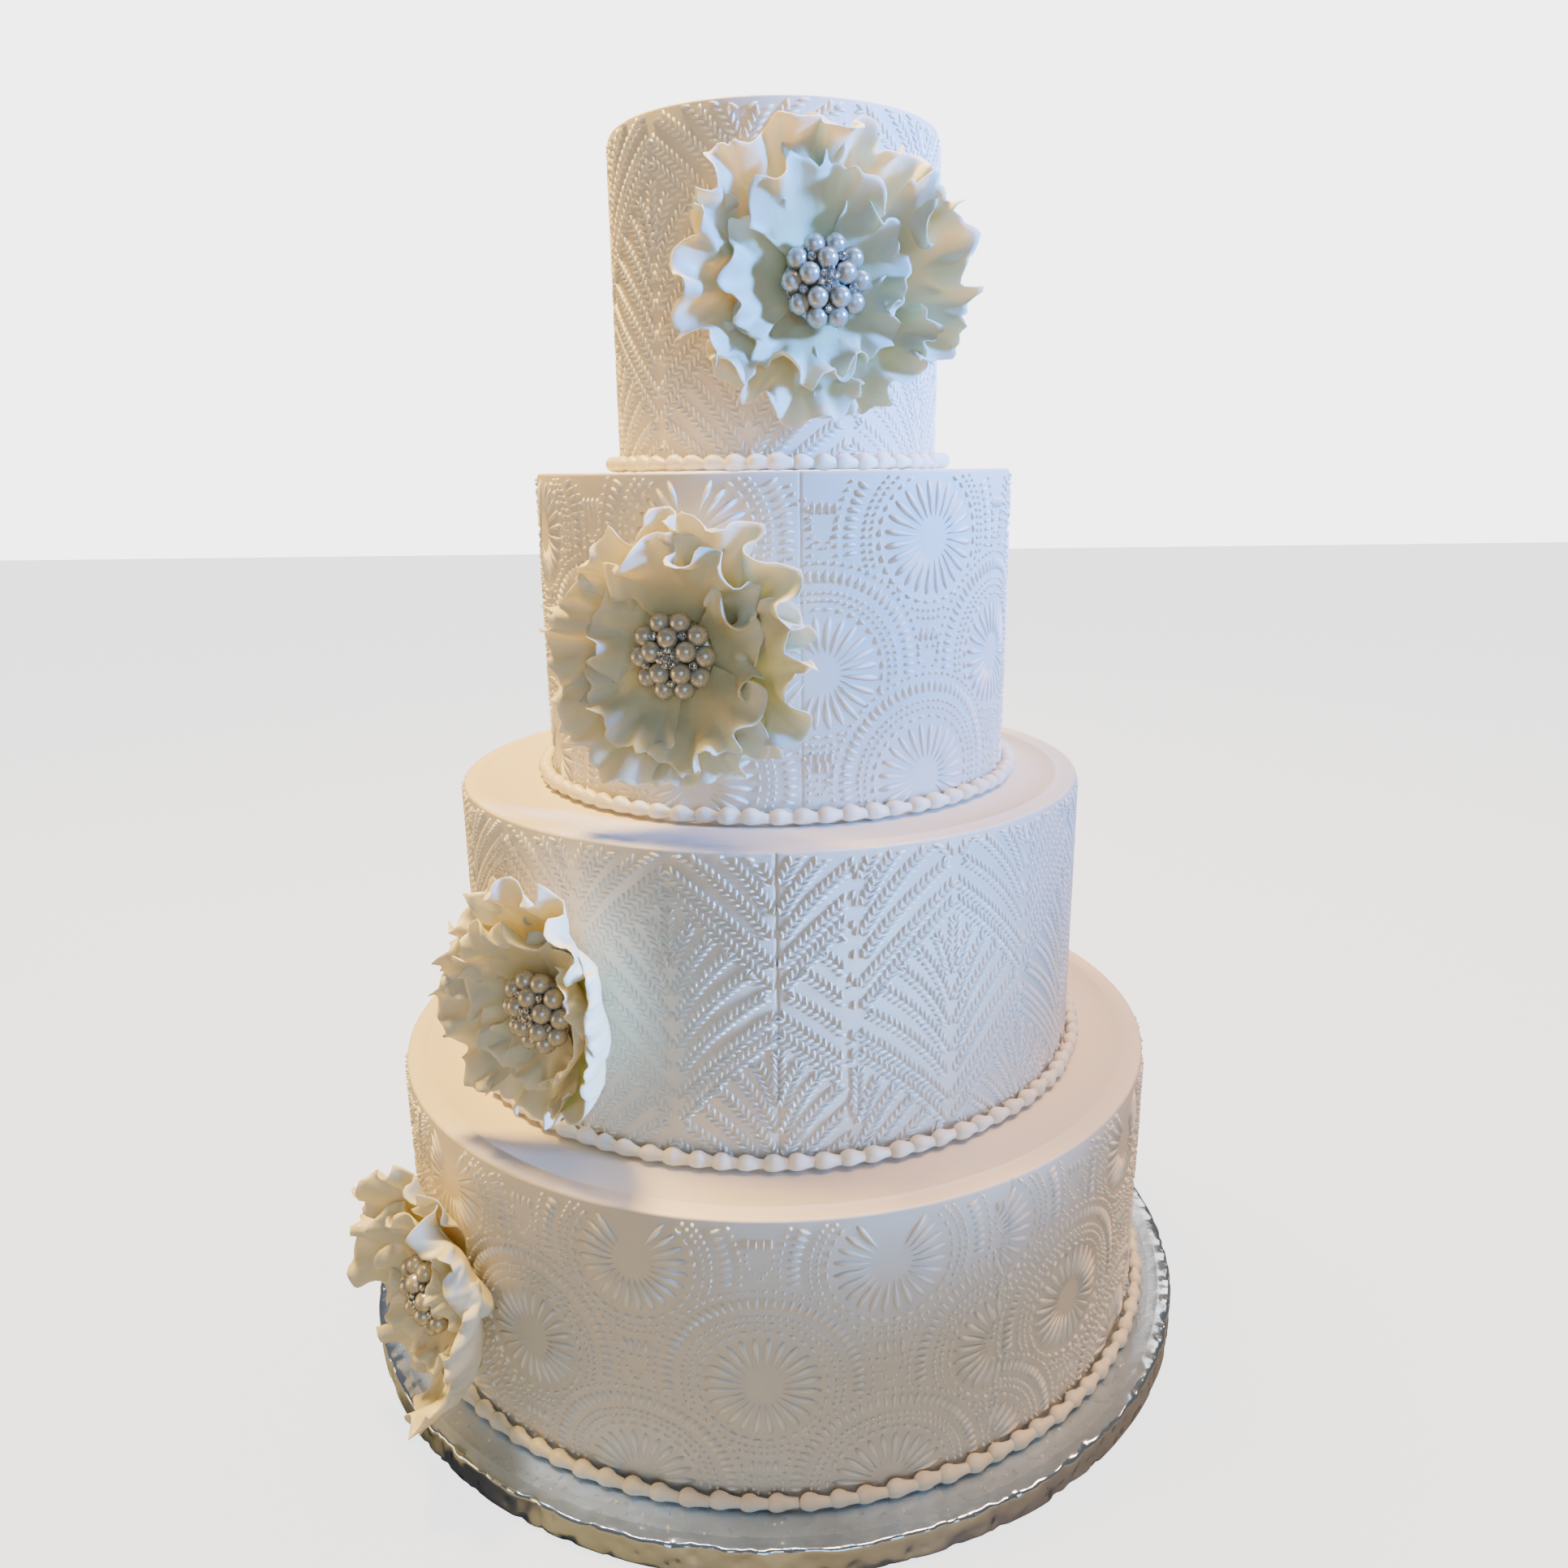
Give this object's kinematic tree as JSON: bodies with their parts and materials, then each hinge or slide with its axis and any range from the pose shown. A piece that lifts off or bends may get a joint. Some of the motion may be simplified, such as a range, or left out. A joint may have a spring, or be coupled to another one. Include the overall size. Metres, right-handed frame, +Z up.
{
  "type": "tiered wedding cake",
  "caption": "Tall round wedding cake of stacked fondant tiers with piped bead borders and ruffled sugar flowers with pearl brooches, on a silver foil cake drum.",
  "frame": {"origin": "centre of the cake drum's underside, on the surface that it stands on", "axes": "+Z up, -Y towards the front as pictured, +X to the right seen from the front"},
  "size_m": [0.437, 0.437, 0.5767],
  "materials": {
    "fondant": "ivory rolled fondant, smooth on top and embossed in low relief on the sides",
    "royal_icing": "piped ivory icing, softly shining",
    "sugar_paste": "thin cream sugar paste with frilled edges, slightly translucent",
    "pearl": "pearly champagne lustre",
    "rhinestone": "cut clear stone",
    "brooch_metal": "bright silver setting",
    "silver_foil": "silver foil, satin on top, crinkled and bright round the edge"
  },
  "bodies": {
    "root": {"tier_1": "fondant", "border_1": "royal_icing", "tier_2": "fondant", "border_2": "royal_icing", "tier_3": "fondant", "border_3": "royal_icing", "tier_4": "fondant", "border_4": "royal_icing", "cake_drum": "silver_foil", "flower_1_outer_petal_1": "sugar_paste", "flower_1_outer_petal_2": "sugar_paste", "flower_1_outer_petal_3": "sugar_paste", "flower_1_outer_petal_4": "sugar_paste", "flower_1_outer_petal_5": "sugar_paste", "flower_1_outer_petal_6": "sugar_paste", "flower_1_inner_petal_1": "sugar_paste", "flower_1_inner_petal_2": "sugar_paste", "flower_1_inner_petal_3": "sugar_paste", "flower_1_inner_petal_4": "sugar_paste", "flower_1_inner_petal_5": "sugar_paste", "flower_1_brooch": "pearl", "flower_2_outer_petal_1": "sugar_paste", "flower_2_outer_petal_2": "sugar_paste", "flower_2_outer_petal_3": "sugar_paste", "flower_2_outer_petal_4": "sugar_paste", "flower_2_outer_petal_5": "sugar_paste", "flower_2_outer_petal_6": "sugar_paste", "flower_2_inner_petal_1": "sugar_paste", "flower_2_inner_petal_2": "sugar_paste", "flower_2_inner_petal_3": "sugar_paste", "flower_2_inner_petal_4": "sugar_paste", "flower_2_inner_petal_5": "sugar_paste", "flower_2_brooch": "pearl", "flower_3_outer_petal_1": "sugar_paste", "flower_3_outer_petal_2": "sugar_paste", "flower_3_outer_petal_3": "sugar_paste", "flower_3_outer_petal_4": "sugar_paste", "flower_3_outer_petal_5": "sugar_paste", "flower_3_outer_petal_6": "sugar_paste", "flower_3_inner_petal_1": "sugar_paste", "flower_3_inner_petal_2": "sugar_paste", "flower_3_inner_petal_3": "sugar_paste", "flower_3_inner_petal_4": "sugar_paste", "flower_3_inner_petal_5": "sugar_paste", "flower_3_brooch": "pearl", "flower_4_outer_petal_1": "sugar_paste", "flower_4_outer_petal_2": "sugar_paste", "flower_4_outer_petal_3": "sugar_paste", "flower_4_outer_petal_4": "sugar_paste", "flower_4_outer_petal_5": "sugar_paste", "flower_4_outer_petal_6": "sugar_paste", "flower_4_inner_petal_1": "sugar_paste", "flower_4_inner_petal_2": "sugar_paste", "flower_4_inner_petal_3": "sugar_paste", "flower_4_inner_petal_4": "sugar_paste", "flower_4_inner_petal_5": "sugar_paste", "flower_4_brooch": "pearl"}
  },
  "joints": []
}
